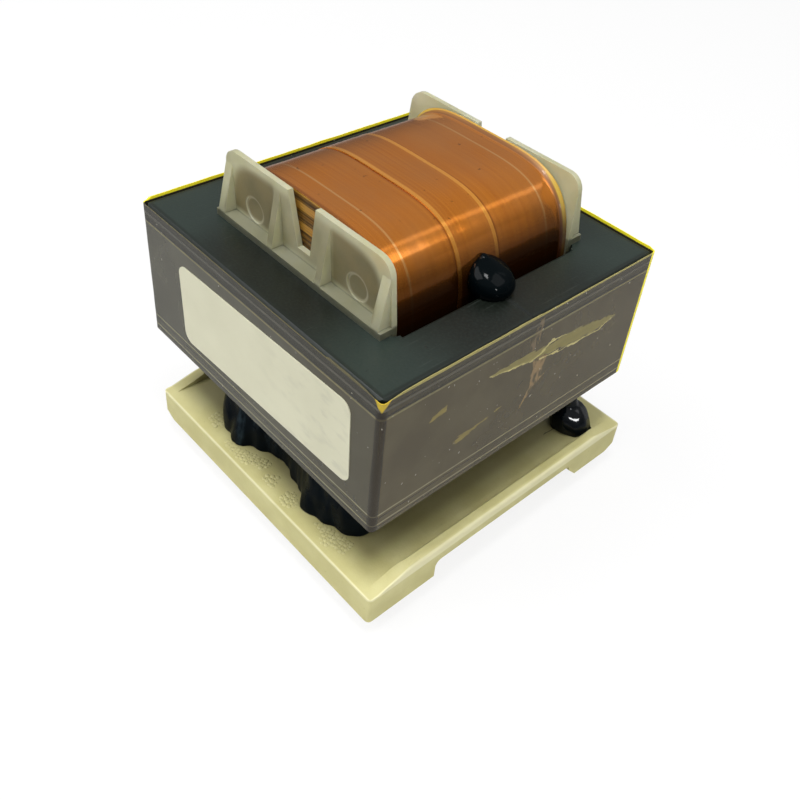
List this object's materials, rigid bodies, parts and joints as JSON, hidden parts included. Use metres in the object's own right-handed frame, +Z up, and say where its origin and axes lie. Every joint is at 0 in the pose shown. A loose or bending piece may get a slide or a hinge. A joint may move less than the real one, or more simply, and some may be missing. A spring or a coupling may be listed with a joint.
{
  "type": "transformer",
  "caption": "Board-mount power transformer: flat ferrite E cores bound with tape around a wound bobbin, glued onto a moulded base with terminal pins",
  "frame": {"origin": "middle of the pin grid, on the plane that the feet stand on", "axes": "+Z up from the board; the coil's axis lies along Y; the label faces -Y"},
  "size_m": [0.0577, 0.0588, 0.057],
  "materials": {
    "ferrite": "satin, sealed",
    "film": "clear yellow film over ferrite, glossy",
    "label_paper": "matte, bare",
    "bobbin_nylon": "satin, translucent",
    "copper": "enamelled wire",
    "amber_film": "amber film over copper, glossy",
    "margin_film": "glossy",
    "base_plastic": "satin",
    "pin_metal": "tinned",
    "sleeve": "matte",
    "black_glue": "glossy when cured"
  },
  "bodies": {
    "root": {"base_plate": "base_plastic", "front_pins": "pin_metal", "rear_pins": "pin_metal", "front_leads": "sleeve", "rear_leads": "sleeve", "core_half_front": "ferrite", "core_half_rear": "ferrite", "core_tape_inner": "film", "core_tape_outer": "film", "label": "label_paper", "bobbin": "bobbin_nylon", "inner_primary": "copper", "inner_insulation": "amber_film", "secondary": "copper", "middle_insulation": "amber_film", "outer_primary": "copper", "front_margin_tapes": "margin_film", "rear_margin_tapes": "margin_film", "outer_insulation": "amber_film", "coil_tape_front": "amber_film", "coil_tape_middle": "amber_film", "coil_tape_rear": "amber_film", "front_glue": "black_glue", "rear_glue": "black_glue", "corner_glue": "black_glue", "leg_glue": "black_glue"}
  },
  "joints": []
}
